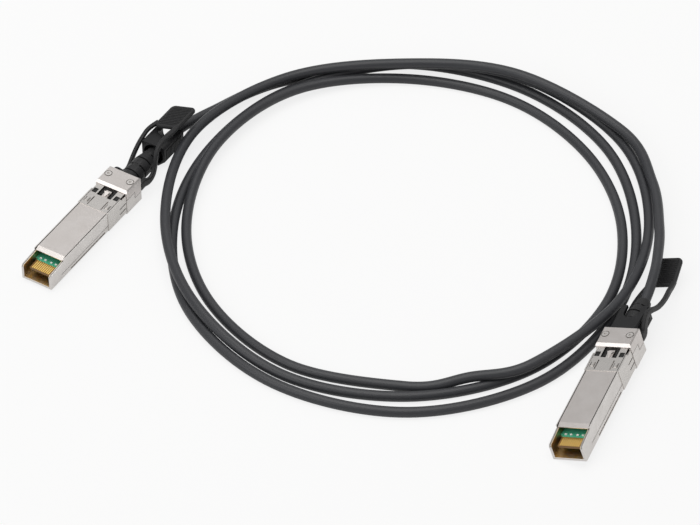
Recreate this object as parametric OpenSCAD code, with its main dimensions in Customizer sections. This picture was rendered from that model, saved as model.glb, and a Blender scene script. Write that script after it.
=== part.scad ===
// Direct attach copper cable: two small pluggable metal plugs joined by one
// round twin-axial cable that lies in loose loops. Millimetres, +Z up, with
// z = 0 on the surface that everything lies on.
//
// A plug is drawn in its own frame: X runs from the mating end (x = 0) to
// the cable, Y across, Z up from the underside of the head.

/* [Plug body] */
// Width of the part that enters the cage
body_w = 13.4; // [13:0.1:14]
// Height of the part that enters the cage
body_h = 8.5; // [8:0.1:9]
// Length from the mating end to the front of the head
plug_len = 50.8; // [49:0.1:54]
// Step from the head's underside up to the body's underside
body_lift = 1.3; // [1:0.1:1.6]
// Thickness of the cast side walls
shell_wall = 1; // [0.8:0.1:1.1]
// Thickness of the cast floor
shell_floor = 1; // [0.8:0.1:1.2]
// Thickness of the cover
cover_t = 1; // [0.9:0.1:1.2]
// Open length of the mouth in front of the cover
mouth_len = 8.7; // [8:0.1:10]
// Length of the polished ramp on the cover's front edge
ramp_len = 2; // [1:0.1:3]

/* [Head] */
// Width of the head
head_w = 14.2; // [14.1:0.1:14.8]
// Height of the head
head_h = 11.4; // [11.2:0.1:12.4]
// Length of the head
head_len = 9.9; // [9.8:0.1:12]
// Bevel along the head's edges
head_bevel = 0.5; // [0.2:0.1:0.8]
// Thickness of the head's rear wall
rear_wall = 1.3; // [1:0.1:1.5]
// Distance of each rivet from the head's rear face
rivet_back = 4.2; // [4:0.1:4.6]
// Distance between the two rivets
rivet_spacing = 10; // [9.8:0.1:10.2]
// Diameter of a rivet's staked head
rivet_head_d = 2.6; // [2.4:0.1:3]
// Diameter of a rivet's shank
rivet_d = 1.3; // [1.2:0.1:1.3]

/* [Spring collar] */
// Thickness of the sheet
sheet_t = 0.2; // [0.15:0.05:0.25]
// Length of the sheet along the body
collar_len = 12.5; // [12.3:0.1:13.5]
// Length of the slots that free the spring fingers
finger_slot_len = 5; // [4:0.1:6]
// Height of the bump on each spring finger
finger_bump = 0.25; // [0.2:0.05:0.4]

/* [Circuit board] */
// Thickness of the board
board_t = 1; // [0.8:0.1:1.2]
// Width of the board's tongue in the mouth
tongue_w = 9.3; // [9:0.1:9.4]
// Distance from the mating end to the tongue's edge
tongue_setback = 2.3; // [1.5:0.1:3]
// Contacts on each face
contact_count = 10; // [6:1:10]
// Distance between contacts
contact_pitch = 0.8; // [0.7:0.05:0.85]
// Width of a contact
contact_w = 0.5; // [0.4:0.02:0.56]
// Length of a contact
contact_len = 4.5; // [3.5:0.1:5]

/* [Release] */
// How far the pull tab draws the slider back
release_travel = 2; // [1.5:0.1:2.1]
// Thickness of the slider's plate
slider_t = 1.2; // [1:0.1:1.3]
// Thickness of the slider's legs
leg_t = 0.55; // [0.5:0.05:0.6]
// Height of the slider's legs
leg_h = 3; // [2.6:0.1:3.2]
// Wire diameter of the return springs
spring_wire = 0.25; // [0.2:0.05:0.3]

/* [Pull tab] */
// Width of the grip plate
grip_w = 12; // [10:0.1:13]
// Length of the grip plate
grip_len = 14; // [12:0.5:17]
// Thickness of the grip plate
grip_t = 1.6; // [1.2:0.1:1.8]
// Ribs across the grip plate
grip_ribs = 11; // [6:1:13]
// Thickness of each arm at the head
arm_t = 1.6; // [1.4:0.1:1.7]
// Height of each arm at the head
arm_h = 3.8; // [3.6:0.1:4.2]

/* [Boot and sleeve] */
// Diameter of the boot at the head
boot_d = 8.2; // [7.6:0.1:8.4]
// Diameter of the boot at the cable
boot_end_d = 5.4; // [5.2:0.1:6]
// Length of the boot behind the head
boot_len = 20; // [18:0.5:22]
// Rings along the boot
boot_rings = 5; // [4:1:6]
// Width of the sliding sleeve
sleeve_w = 10.6; // [10.4:0.1:10.7]
// Height of the sliding sleeve
sleeve_h = 10.2; // [10:0.1:10.4]
// Length of the sliding sleeve
sleeve_len = 13.6; // [12:0.2:14]
// How much lower the sleeve's top is at its rear
sleeve_drop = 0.8; // [0.4:0.1:0.8]
// Teeth along each side of the sleeve
sleeve_teeth = 12; // [8:1:14]
// How far the first plug's sleeve is pushed back
sleeve_a_back = 19; // [16:0.5:20]

/* [Cable] */
// Diameter of the cable's jacket
cable_d = 4; // [3.8:0.1:4.2]
// Diameter of one insulated wire
wire_d = 1; // [0.8:0.05:1.1]

/* [Hidden] */

// Where the plugs and the coil lie. Plug A lies flat. Plug B is turned about
// its own axis by the cable's twist, and lies on the lower edges of its head
// and of its nose.
plug_a = [-92.5, 46.1, 0];
plug_a_yaw = 58.8;
plug_b = [98.9, -42.8, 2.21];
plug_b_yaw = 66.7;
plug_b_pitch = 1.5;
plug_b_roll = 18.4;
coil = [20.6, 34.2, 0];

// Fits
slip = 0.1;          // running clearance of the slider in the castings
fit_gap = 0.05;      // gap between flat faces that meet
seam = 0.18;         // visible seams of the castings
soft_gap = 0.25;     // clearance of soft pieces that slide past others
bite = 0.5;          // how far cuts run past a face

// Heights in a plug
body_top = body_lift + body_h;
axis_z = 5.5;
board_top = axis_z + board_t / 2;
cover_low = body_top - cover_t;
lip_t = 0.4;         // thickness of the wall's lip beside the cover
cover_edge = body_w / 2 - lip_t - seam;
inner_w = body_w - 2 * shell_wall;
rear_x = plug_len + head_len;
cavity_end = plug_len - 1;      // rear end of the body's inside

// Latch tongue, slider, legs and their channels
tongue_half = 1.25;
slider_half = inner_w / 2 - slip;
tip_in = 3.9;
tip_out = cover_edge - slip;
plate_front = plug_len - 5;
tip_len = plug_len - plate_front - release_travel - 2 * slip;
plate_low = 8;
plate_back = plug_len + 2.2;
tooth_h = 0.2;       // height of the sleeve's side teeth
skin = 0.2;          // soft material between sleeve and leg
leg_in = sleeve_w / 2 + tooth_h + soft_gap + skin;
leg_low = axis_z - 0.3 - leg_h / 6;
leg_reach = 2.4;     // length of leg that stands behind the head
leg_out = leg_in + leg_t;
arm_in = leg_in - skin;
arm_mid = arm_in + arm_t / 2;
arm_z = leg_low + leg_h / 2;

// Return springs
spring_y = 2.4;
spring_r = 0.7;
spring_z = plate_low + slider_t / 2 + 0.1;
spring_turns = 5;
spring_back = plate_back + 4;

// Cable passage
flange_t = 1.5;
flange_d = boot_d + 0.4;
neck_d = boot_d - 1;
ferrule_d = 2 * (plate_low - axis_z - slip);
jacket_gap = 0.1;
jacket_start = plug_len + 1.2;
bore_d = cable_d + 2 * jacket_gap;

// Rivets
rivet_x = rear_x - rivet_back;
rivet_foot = 1.6;
rivet_sink = 0.3;    // depth of the ring around a rivet's head

// ---------------------------------------------------------------- sweeps

function unit(v) = v / norm(v);
function tangent(p, i) = unit(p[min(i + 1, len(p) - 1)] - p[max(i - 1, 0)]);
function level_side(t) = unit([-t.y, t.x, 0]);

// One ring: an outline of [across, up] pairs carried to a point of a path.
function ring_at(p, i, outline) =
    let (t = tangent(p, i), s = level_side(t), u = cross(t, s))
    [for (o = outline) p[i] + o[0] * s + o[1] * u];

// Solid that carries one outline for each point of a path along the path.
module sweep(path, outlines) {
    n = len(outlines[0]);
    last = len(path) - 1;
    points = [for (i = [0:last]) each ring_at(path, i, outlines[i])];
    walls = [for (i = [0:last - 1], k = [0:n - 1])
        let (a = i * n + k, b = i * n + (k + 1) % n)
        [a, a + n, b + n, b]];
    front = [for (k = [0:n - 1]) k];
    back = [for (k = [n - 1:-1:0]) last * n + k];
    polyhedron(points, concat([front], walls, [back]), convexity = 8);
}

function round_outline(d, sides) =
    [for (k = [0:sides - 1]) d / 2 * [cos(360 * k / sides), sin(360 * k / sides)]];

function strap_outline(w, h) =
    let (c = min(w, h) / 4, x = w / 2, y = h / 2)
    [[x, -y + c], [x, y - c], [x - c, y], [c - x, y], [-x, y - c], [-x, c - y], [c - x, -y], [x - c, -y]];

// Point between p1 and p2 on the smooth curve through four points.
function between(p0, p1, p2, p3, t) =
    0.5 * (2 * p1 + (p2 - p0) * t + (2 * p0 - 5 * p1 + 4 * p2 - p3) * t * t
        + (3 * p1 - p0 - 3 * p2 + p3) * t * t * t);

function is_long(p, i, long) = let (a = p[i], b = p[i + 1])
    norm([b[0] - a[0], b[1] - a[1], b[2] - a[2]]) > long;

// Smooth curve through the points p. A stretch longer than long gets one
// more point in its middle.
function smooth(p, long) = concat(
    [for (i = [0:len(p) - 2], t = is_long(p, i, long) ? [0, 0.5] : [0])
        between(p[max(i - 1, 0)], p[i], p[i + 1], p[min(i + 2, len(p) - 1)], t)],
    [p[len(p) - 1]]);

// ------------------------------------------------------------- placement

module place_a() {
    translate(plug_a) rotate(plug_a_yaw) translate([-plug_len, 0, 0]) children();
}

module place_b() {
    translate(plug_b) rotate([-plug_b_roll, -plug_b_pitch, plug_b_yaw]) translate([-plug_len, 0, 0])
        children();
}

function turn_x(p, a) = [p.x, p.y * cos(a) - p.z * sin(a), p.y * sin(a) + p.z * cos(a)];
function turn_y(p, a) = [p.x * cos(a) + p.z * sin(a), p.y, p.z * cos(a) - p.x * sin(a)];
function turn_z(p, a) = [p.x * cos(a) - p.y * sin(a), p.x * sin(a) + p.y * cos(a), p.z];

// Points given in a plug's own frame, carried to the common frame.
function from_a(p) = plug_a + turn_z(p - [plug_len, 0, 0], plug_a_yaw);
function from_b(p) = plug_b
    + turn_z(turn_y(turn_x(p - [plug_len, 0, 0], -plug_b_roll), -plug_b_pitch), plug_b_yaw);

// ------------------------------------------------------------ small tools

// Box from x0 to x1 and z0 to z1, centred across.
module bar(x0, x1, w, z0, z1) {
    translate([x0, -w / 2, z0]) cube([x1 - x0, w, z1 - z0]);
}

// The same box at +y and -y, from y0 to y1.
module both_sides(x0, x1, y0, y1, z0, z1) {
    for (side = [-1, 1])
        translate([x0, side > 0 ? y0 : -y1, z0]) cube([x1 - x0, y1 - y0, z1 - z0]);
}

// Prism along X from an outline of [y, z] points.
module along_x(x0, x1, outline) {
    translate([x0, 0, 0]) rotate([90, 0, 90]) linear_extrude(x1 - x0) polygon(outline);
}

// Prism across Y from an outline of [x, z] points.
module across_y(w, outline) {
    translate([0, w / 2, 0]) rotate([90, 0, 0]) linear_extrude(w) polygon(outline);
}

module rod_x(x0, x1, d, y = 0, z = axis_z) {
    translate([x0, y, z]) rotate([0, 90, 0]) cylinder(d = d, h = x1 - x0, $fn = 48);
}

function bevelled(w, z0, z1, c) = [
    [-w / 2 + c, z0], [w / 2 - c, z0], [w / 2, z0 + c], [w / 2, z1 - c],
    [w / 2 - c, z1], [-w / 2 + c, z1], [-w / 2, z1 - c], [-w / 2, z0 + c]];

// ------------------------------------------------------------------ head

// Outside of the head: bevelled along its length, with a ramp under the
// top front edge.
module head_block() {
    intersection() {
        along_x(plug_len, rear_x, bevelled(head_w, 0, head_h, head_bevel));
        across_y(head_w + 1, [
            [plug_len, 0], [rear_x, 0], [rear_x, head_h - head_bevel], [rear_x - head_bevel, head_h],
            [plug_len + 2 * head_bevel, head_h], [plug_len, head_h - 2 * head_bevel]]);
    }
}

// Everything in the head below its stepped parting line.
module below_parting(gap) {
    step_x = plug_len + head_len * 0.55;
    high = axis_z + 1.6 - gap;
    low = axis_z - 1.2 - gap;
    across_y(head_w + 2, [
        [plug_len - bite, -bite], [rear_x + bite, -bite], [rear_x + bite, low],
        [step_x - gap, low], [step_x - gap, high], [plug_len - bite, high]]);
}

// Space inside the head for the slider, its legs, the springs, the ferrule,
// the wires and the boot's flange.
module head_space() {
    bar(plug_len - bite, spring_back, 2 * 3.2, 1.6, plate_low + bite);
    bar(plug_len - bite, plate_back + release_travel + slip, 2 * (leg_out + slip), plate_low - slip,
        plate_low + slider_t + slip);
    both_sides(plug_len + 0.6, rear_x + bite, leg_in - slip, leg_out + slip, leg_low - slip,
        leg_low + leg_h + slip);
    both_sides(plug_len + 0.6, plate_back + release_travel + slip, leg_in - slip, leg_out + slip, leg_low,
        plate_low);
    for (side = [-1, 1])
        rod_x(plate_back - bite, spring_back, 2 * spring_r + spring_wire + 0.3, side * spring_y, spring_z);
    rod_x(spring_back - bite, rear_x, bore_d + 0.4);
    rod_x(rear_x - rear_wall - flange_t - slip, rear_x - rear_wall, flange_d + 2 * slip);
    rod_x(rear_x - rear_wall - bite, rear_x + bite, neck_d + 2 * slip);
}

module rivet_holes(d) {
    for (side = [-1, 1])
        translate([rivet_x, side * rivet_spacing / 2, -bite])
            cylinder(d = d, h = head_h + 2 * bite, $fn = 32);
}

// -------------------------------------------------------------- castings

side_groove_d = 0.5;
gap_len = 3.3;       // open corner between the collar and the head
gap_h = 0.7;
finger_room = 0.35;  // depth of the pockets that the fingers bend into

// Cast trough with the lower half of the head. Its side walls carry a lip
// beside the cover and ledges under the board.
module lower_shell() {
    color("gainsboro") difference() {
        union() {
            difference() {
                across_y(body_w, [
                    [0, body_lift], [plug_len, body_lift], [plug_len, body_top], [mouth_len, body_top],
                    [mouth_len, cover_low], [0.5, cover_low - 0.7], [0, cover_low - 1.4]]);
                bar(-bite, cavity_end, inner_w, body_lift + shell_floor, body_top);
                bar(mouth_len - bite, plug_len + bite, body_w - 2 * lip_t, cover_low, body_top + bite);
                bar(cavity_end - bite, plug_len + bite, 6.4, 2.6, body_top);
                // Room for the slider's plate and tips
                bar(cavity_end - bite, plug_len + bite, inner_w, plate_low - slip, body_top);
                bar(plate_front - slip, plug_len + bite, 2 * (tip_out + slip), cover_low - 2 * slip, body_top);
                // Gaps beside the head
                both_sides(plug_len - gap_len, plug_len - slip, tip_out, body_w, body_top - gap_h, body_top + bite);
            }
            both_sides(12, plug_len - 6.8, tongue_w / 2 + 0.35, inner_w / 2 + bite / 2, body_lift,
                axis_z - board_t / 2);
            intersection() {
                difference() {
                    head_block();
                    head_space();
                }
                below_parting(0);
            }
        }
        rivet_holes(rivet_d);
        side_lines();
        label_recess();
        finger_pockets(body_lift - bite, body_lift + finger_room);
    }
}

// Thin line and deeper groove along each side, and the two short slots
// beside the head.
module side_lines() {
    line_z = body_lift + 2.3;
    groove_z = body_lift + 0.35;
    collar_x = plug_len - collar_len;
    for (side = [0, 1]) mirror([0, side, 0]) {
        translate([7, body_w / 2 - 0.3, line_z]) cube([collar_x - 7, 1, 0.25]);
        translate([13, body_w / 2 - side_groove_d, groove_z]) cube([23, 1, 0.7]);
        for (z = side_slot_z) translate([side_slot_x, body_w / 2 - side_groove_d, z])
            cube([plug_len - 0.4 - side_slot_x, 1, slot_w]);
    }
}

// Pockets behind the collar's fingers.
module finger_pockets(z0, z1) {
    both_sides(slot_x - slip, slot_x + finger_slot_len + slip, 2.8, 5.9, z0, z1);
}

// Shallow field on the underside where a label would be stuck.
module label_recess() {
    bar(12, 36, body_w - 3, body_lift - bite, body_lift + 0.15);
}

// Cast cover with its front ramp, the tongue that carries the latch boss,
// and the opening around the tongue for the slider.
module upper_cover() {
    color("lightgray") difference() {
        union() {
            bar(mouth_len + fit_gap, plug_len - fit_gap, 2 * cover_edge, cover_low + fit_gap, body_top);
            both_sides(14, plug_len - 10.8, tongue_w / 2 + 0.3, inner_w / 2 - fit_gap, board_top + fit_gap, cover_low + 2 * fit_gap);
            latch_boss();
        }
        // Ramp along the front edge
        across_y(body_w + 1, [
            [mouth_len - bite, body_top + bite], [mouth_len - bite, body_top - 0.7 - bite * 0.35],
            [mouth_len, body_top - 0.7], [mouth_len + ramp_len, body_top],
            [mouth_len + ramp_len, body_top + bite]]);
        // Opening around the tongue
        both_sides(plate_front - slip, plug_len + bite, tongue_half, body_w, cover_low - bite,
            body_top + bite);
        bar(plug_len - 1.2, plug_len + bite, 2 * tongue_half + 1, cover_low - bite, body_top + bite);
        finger_pockets(body_top - finger_room, body_top + bite);
    }
}

// Wedge that the cage's latch hooks behind. It points to the mating end and
// rises towards the head.
module latch_boss() {
    boss_x = plug_len - 5;
    back = boss_x + 2.4;
    intersection() {
        translate([0, 0, body_top - 0.2]) linear_extrude(1.2)
            polygon([[boss_x, -0.2], [boss_x, 0.2], [back, tongue_half - 0.05], [back, 0.05 - tongue_half]]);
        across_y(body_w, [
            [boss_x, body_top - 0.2], [back, body_top - 0.2], [back, body_top + 0.9], [boss_x, body_top + 0.25]]);
    }
}

// Upper half of the head, riveted down over the cable.
module head_cap() {
    color("lightgray") difference() {
        head_block();
        head_space();
        below_parting(-seam);
        rivet_holes(rivet_d);
        for (side = [-1, 1]) translate([rivet_x, side * rivet_spacing / 2, head_h - rivet_sink])
            cylinder(d = rivet_head_d + 3 * seam, h = bite + rivet_sink, $fn = 48);
    }
}

// Two rivets: shank through both halves, head staked into a sunk ring of
// the cap, with a dimple from the punch.
module head_rivets() {
    seat_z = head_h - rivet_sink;
    color("silver") for (side = [-1, 1])
        translate([rivet_x, side * rivet_spacing / 2, 0]) difference() {
            union() {
                translate([0, 0, rivet_foot]) cylinder(d = rivet_d, h = seat_z - rivet_foot, $fn = 32);
                translate([0, 0, seat_z]) cylinder(d = rivet_head_d, h = rivet_sink + 0.1, $fn = 48);
            }
            translate([0, 0, seat_z + 0.1]) cylinder(d = rivet_head_d * 0.42, h = bite, $fn = 32);
        }
}

// --------------------------------------------------------- spring collar

slot_x = plug_len - collar_len + 0.7;
slot_w = 0.45;
side_slot_x = plug_len - 4.6;
side_slot_z = [axis_z + 0.3, axis_z - 2.2];

// Thin sprung sheet around the body in front of the head: slots free its
// fingers, bumps on them touch the cage, and windows clear the latch parts.
module spring_collar() {
    x0 = plug_len - collar_len;
    x1 = plug_len - 2 * fit_gap;
    bump_x = slot_x + 1.1;
    bump_len = 2.6;
    out = sheet_t + bite;
    color("whitesmoke") {
        difference() {
            bar(x0, x1, body_w + 2 * sheet_t, body_lift - sheet_t, body_top + sheet_t);
            bar(x0 - bite, x1 + bite, body_w, body_lift, body_top);
            // Slots that free the fingers, on top and underneath
            for (z = [body_lift - out, body_top - bite]) {
                both_sides(slot_x, slot_x + finger_slot_len, 2.9, 2.9 + slot_w, z, z + out + bite);
                for (y = [3.75, 5.4]) both_sides(bump_x, bump_x + bump_len, y, y + 0.25, z, z + out + bite);
            }
            // Slots in the two sides
            for (z = side_slot_z)
                both_sides(side_slot_x, plug_len - 0.4, body_w / 2 - bite, body_w / 2 + out, z, z + slot_w);
            // Slits that continue the seams of the cover, open beside the head
            both_sides(x0 + 0.5, x1 + bite, cover_edge, cover_edge + 1.4 * seam, body_top - bite, body_top + out);
            both_sides(plug_len - gap_len, x1 + bite, tip_out, body_w, body_top - gap_h, body_top + out);
            // Windows over the slider's tips and around the latch boss
            both_sides(plate_front + slip, plate_front + tip_len - 2 * slip, tip_in, tip_out - slip,
                body_top - bite, body_top + out);
            bar(plug_len - 5.4, x1 + bite, 2 * 3.2, body_top - bite, body_top + out);
        }
        for (z = [body_lift - sheet_t - finger_bump, body_top + sheet_t])
            both_sides(bump_x + 0.3, bump_x + bump_len - 0.3, 4.2, 5.2, z, z + finger_bump);
    }
}

// ---------------------------------------------------------- board, wires

board_back = plug_len - 6.3;
pad_t = 0.06;

module circuit_board() {
    color("seagreen") {
        bar(tongue_setback, mouth_len - 1, tongue_w, board_top - board_t, board_top);
        bar(mouth_len - 1, board_back, inner_w - 2 * slip, board_top - board_t, board_top);
    }
}

module contact_pads() {
    color("gold") for (k = [0:contact_count - 1], z = [board_top, board_top - board_t - pad_t])
        translate([tongue_setback + 0.2, (k - (contact_count - 1) / 2) * contact_pitch - contact_w / 2, z])
            cube([contact_len, contact_w, pad_t]);
}

// Chip: x, y, length, width, height
module chip(x, y, l, w, h, top = true) {
    translate([x - l / 2, y - w / 2, top ? board_top : board_top - board_t - h]) cube([l, w, h]);
}

// Small parts soldered to the board: capacitors behind the contacts on both
// faces and a memory chip with its neighbours further in.
module board_components() {
    color("tan") {
        for (y = [-3.4, -1.2, 1.4, 3.5], top = [true, false]) chip(8.2, y, 0.6, 0.9, 0.4, top);
        for (k = [0:3]) chip(14, -3 + 2 * k, 1, 0.5, 0.5);
        chip(24, 0, 4.4, 3, 1);
        for (y = [-3.2, 3.2]) chip(24, y, 1.6, 0.8, 0.6);
        for (k = [0:2]) chip(31 + 1.6 * k, 2.4, 0.8, 1.2, 0.5);
        chip(34, -2, 2.2, 2.2, 0.8);
        for (k = [0:3]) chip(20, -3 + 2 * k, 0.8, 0.5, 0.4, false);
    }
}

wire_y = 0.9;
wire_z = board_t / 2 + wire_d / 2;

// Two pairs of insulated wires, one pair on each face of the board.
module wire_pairs() {
    color("lightblue") for (y = [-wire_y, wire_y], z = [-wire_z, wire_z])
        rod_x(board_back - 2.5, jacket_start, wire_d, y, axis_z + z);
}

// Moulded block that holds the wires behind the board.
module wire_clamp() {
    color("ivory") difference() {
        bar(board_back + 0.2, board_back + 3.4, 6, axis_z - 2.2, axis_z + 2.2);
        for (y = [-wire_y, wire_y], z = [-wire_z, wire_z])
            rod_x(board_back, board_back + 4, wire_d, y, axis_z + z);
    }
}

// Crimped tube over the cable's end.
module crimp_ferrule() {
    color("goldenrod") difference() {
        union() {
            rod_x(plug_len - 0.4, spring_back - slip, ferrule_d);
            rod_x(plate_back + release_travel + slip, spring_back - slip, ferrule_d + 0.6);
        }
        rod_x(plug_len - 1, spring_back + 1, bore_d);
    }
}

// --------------------------------------------------------------- release

// Moulded slider: a plate with two tips that lift the cage's latch, a gap
// around the latch tongue, and two legs that reach out behind the head.
module release_slider() {
    plate_top = plate_low + slider_t;
    color("dimgray") {
        difference() {
            union() {
                bar(plate_front, plate_back, 2 * slider_half, plate_low, cover_low);
                bar(plate_front + 1, plate_back, 2 * (tip_in + 0.5), cover_low - slip, plate_top);
                bar(plug_len + 0.3, plate_back, 2 * leg_out, plate_low, plate_top);
                // Tips with a lead-in towards the mating end
                for (side = [-1, 1])
                    translate([0, side * (tip_in + tip_out) / 2, 0]) across_y(tip_out - tip_in, [
                        [plate_front, cover_low - slip], [plate_front + tip_len, cover_low - slip],
                        [plate_front + tip_len, body_top - slip], [plate_front + 1, body_top - slip],
                        [plate_front, cover_low + slip]]);
            }
            bar(plate_front - bite, plug_len - 0.4, 2 * tongue_half + 0.6, plate_low - bite, plate_top + bite);
        }
        difference() {
            both_sides(plate_back - 1.5, rear_x + leg_reach, leg_in, leg_out, leg_low, leg_low + leg_h);
            tab_pin_holes();
        }
        both_sides(plate_back - 1.5, plate_back, leg_in, leg_out, leg_low + leg_h - 0.2, plate_low + 0.2);
    }
}

// Coil spring along X, from x0 to x1.
module coil_spring(x0, x1, y, z) {
    per_turn = 10;
    sides = 5;
    steps = spring_turns * per_turn;
    wire_r = spring_wire / 2;
    start = x0 + wire_r;
    pitch = (x1 - x0 - spring_wire) / spring_turns;
    points = [for (i = [0:steps], k = [0:sides - 1])
        let (a = 360 * i / per_turn, b = 360 * k / sides, r = spring_r + wire_r * cos(b))
        [start + pitch * i / per_turn + wire_r * sin(b), y + r * cos(a), z + r * sin(a)]];
    walls = [for (i = [0:steps - 1], k = [0:sides - 1])
        let (p = i * sides + k, q = i * sides + (k + 1) % sides)
        [p, p + sides, q + sides, q]];
    front = [for (k = [0:sides - 1]) k];
    back = [for (k = [sides - 1:-1:0]) steps * sides + k];
    polyhedron(points, concat([front], walls, [back]), convexity = 12);
}

module return_springs() {
    color("darkgray") for (side = [-1, 1])
        coil_spring(plate_back, spring_back - release_travel, side * spring_y, spring_z);
}

pin_x = rear_x + leg_reach - 1.1;
pin_d = 1;

module tab_pin_holes() {
    for (side = [-1, 1])
        translate([pin_x, side * (arm_mid), arm_z]) rotate([90, 0, 0])
            cylinder(d = pin_d, h = 4, center = true, $fn = 32);
}

// Pins that fix the tab's arms to the slider's legs.
module tab_pins() {
    color("silver") for (side = [-1, 1])
        translate([pin_x, side * arm_mid, arm_z]) rotate([90, 0, 0])
            cylinder(d = pin_d, h = arm_t - 0.1, center = true, $fn = 32);
}

// -------------------------------------------------------------- pull tab

root_x = rear_x + 0.3;

// Routes of the arms. Each row is [x from the root, y, z, thickness, height],
// and y is the distance from the plug's middle plane. The first plug's strap
// stands up over the cable, the second one's hangs under it.
arm_start = [
    [0, arm_mid, arm_z, arm_t, arm_h],
    [leg_reach + 0.2, arm_mid, arm_z, arm_t, arm_h - 0.2]];
high_right = concat(arm_start, [
    [5.4, 6.8, 5.4, 1.5, 3.1], [8, 6.9, 6.3, 1.5, 2.7], [9.9, 6.8, 9, 1.5, 2.5], [11.2, 6.5, 12, 1.5, 2.4],
    [13.2, 6, 14.6, 1.6, 2.2], [16, 5.6, 15.5, 1.7, 2], [20, 5.4, 15.5, 1.9, 1.8], [24.5, 5.3, 14.9, 2, 1.6],
    [30, 5, 14.5, 2, 1.5]]);
high_left = concat(arm_start, [
    [4.6, 6.6, 4.4, 1.5, 3], [6.6, 6.6, 2.4, 1.5, 2.4], [8.8, 6.6, 1.4, 1.5, 2], [11.2, 6.6, 1.9, 1.5, 2],
    [13.6, 6.6, 4.1, 1.5, 2.1], [16.2, 6.6, 6.5, 1.5, 2], [19, 6.6, 8.4, 1.5, 1.9], [22, 6.6, 9.7, 1.5, 1.8],
    [24.6, 6.4, 10.8, 1.5, 1.7], [27, 5.6, 11.6, 1.6, 1.6], [30, 4.6, 11.9, 1.8, 1.5]]);
low_right = concat(arm_start, [
    [4.4, 6.6, 8, 1.5, 3.3], [6.8, 6.6, 9.6, 1.5, 2.9], [9.4, 6.6, 10, 1.5, 2.5], [12.2, 6.7, 8.9, 1.5, 2.2],
    [15, 6.7, 7.2, 1.5, 2], [18, 6.7, 5.7, 1.5, 2], [22.5, 6.7, 4.5, 1.6, 2], [26.5, 6.4, 3.8, 1.8, 1.9],
    [30, 5.6, 2.6, 1.9, 1.8], [33.3, 5, 1.5, 2, 1.7], [37, 4.5, 0.8, 2, 1.6]]);
low_left = concat(arm_start, [
    [5, 6.6, 5, 1.5, 3.1], [8, 6.7, 3, 1.5, 2.6], [12, 6.7, 1.8, 1.5, 2.2], [18, 6.7, 1.4, 1.6, 2],
    [24, 6.5, 1.3, 1.7, 1.9], [30, 5.6, 1.1, 1.9, 1.8], [37, 4, 0.8, 2, 1.6]]);

// Where each grip starts, seen from the root, and how it is turned
grip_a = [27.2, -0.6, 13.2];
grip_a_turn = [-18, 0, 0];
grip_b = [34.8, 0.4, 0.3];
grip_b_turn = [-2, -8, 4];

module tab_arm(route, side) {
    rows = smooth(route, 2.6);
    sweep([for (r = rows) [root_x + r[0], side * r[1], r[2]]], [for (r = rows) strap_outline(r[3], r[4])]);
}

// Grip plate with round corners, rims along its edges and ribs across.
module grip_plate() {
    rib_pitch = (grip_len - 3) / grip_ribs;
    linear_extrude(grip_t, center = true) offset(r = 2, $fn = 24) offset(delta = -2)
        translate([0, -grip_w / 2]) square([grip_len, grip_w]);
    for (k = [0:grip_ribs - 1], z = [-1, 1])
        translate([1.6 + k * rib_pitch, -grip_w / 2 + 1.6, z * grip_t / 2 - 0.25])
            cube([rib_pitch * 0.45, grip_w - 3.2, 0.5]);
    for (side = [-1, 1], z = [-1, 1])
        translate([1, side * (grip_w / 2 - 0.75) - 0.45, z * grip_t / 2 - 0.3]) cube([grip_len - 3, 0.9, 0.6]);
}

// Flexible strap: two arms, pinned to the slider's legs, that carry the
// grip. The grip starts at the point at, turned by the angles turn.
module pull_tab(right, left, at, turn) {
    color("black") difference() {
        union() {
            tab_arm(right, -1);
            tab_arm(left, 1);
            translate([root_x, 0, 0] + at) rotate(turn) grip_plate();
        }
        tab_pin_holes();
        both_sides(rear_x, rear_x + leg_reach + fit_gap, leg_in, leg_out, leg_low, leg_low + leg_h);
    }
}

// ------------------------------------------------------- boot and sleeve

// Moulded boot: a flange held in the head, a neck through its rear wall and
// a row of rings that get smaller towards the cable.
module cable_boot() {
    pitch = boot_len / boot_rings;
    groove = 0.7;
    depth = 0.75;
    shoulder = 0.6 * boot_len;      // start of the cone
    function skin_r(x) = (boot_d - (boot_d - boot_end_d) * max(0, x - shoulder) / (boot_len - shoulder)) / 2;
    rings = [for (k = [1:boot_rings - 1]) let (x = k * pitch) each [
        [skin_r(x - groove), x - groove], [skin_r(x - groove) - depth, x - groove],
        [skin_r(x) - depth, x], [skin_r(x), x]]];
    profile = concat(
        [[bore_d / 2, -rear_wall - flange_t], [flange_d / 2, -rear_wall - flange_t],
         [flange_d / 2, -rear_wall - slip], [neck_d / 2, -rear_wall - slip], [neck_d / 2, slip],
         [skin_r(0), slip]],
        rings, [[boot_end_d / 2, boot_len], [bore_d / 2, boot_len]]);
    color([0.2, 0.2, 0.21]) translate([rear_x, 0, axis_z]) rotate([0, 90, 0]) {
        rotate_extrude($fn = 64) polygon(profile);
        // Bridges that split each groove in two slots, turned at each groove
        for (k = [1:boot_rings - 1], side = [0, 180]) rotate(90 * (k % 2) + side)
            translate([bore_d / 2 + 0.1, -1.4, k * pitch - groove - 0.1])
                cube([skin_r(k * pitch) - bore_d / 2 - 0.25, 2.8, groove + 0.2]);
    }
}

sleeve_bore = boot_d + 2 * soft_gap;
sleeve_rest = soft_gap;         // gap between a seated sleeve and the head

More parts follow.
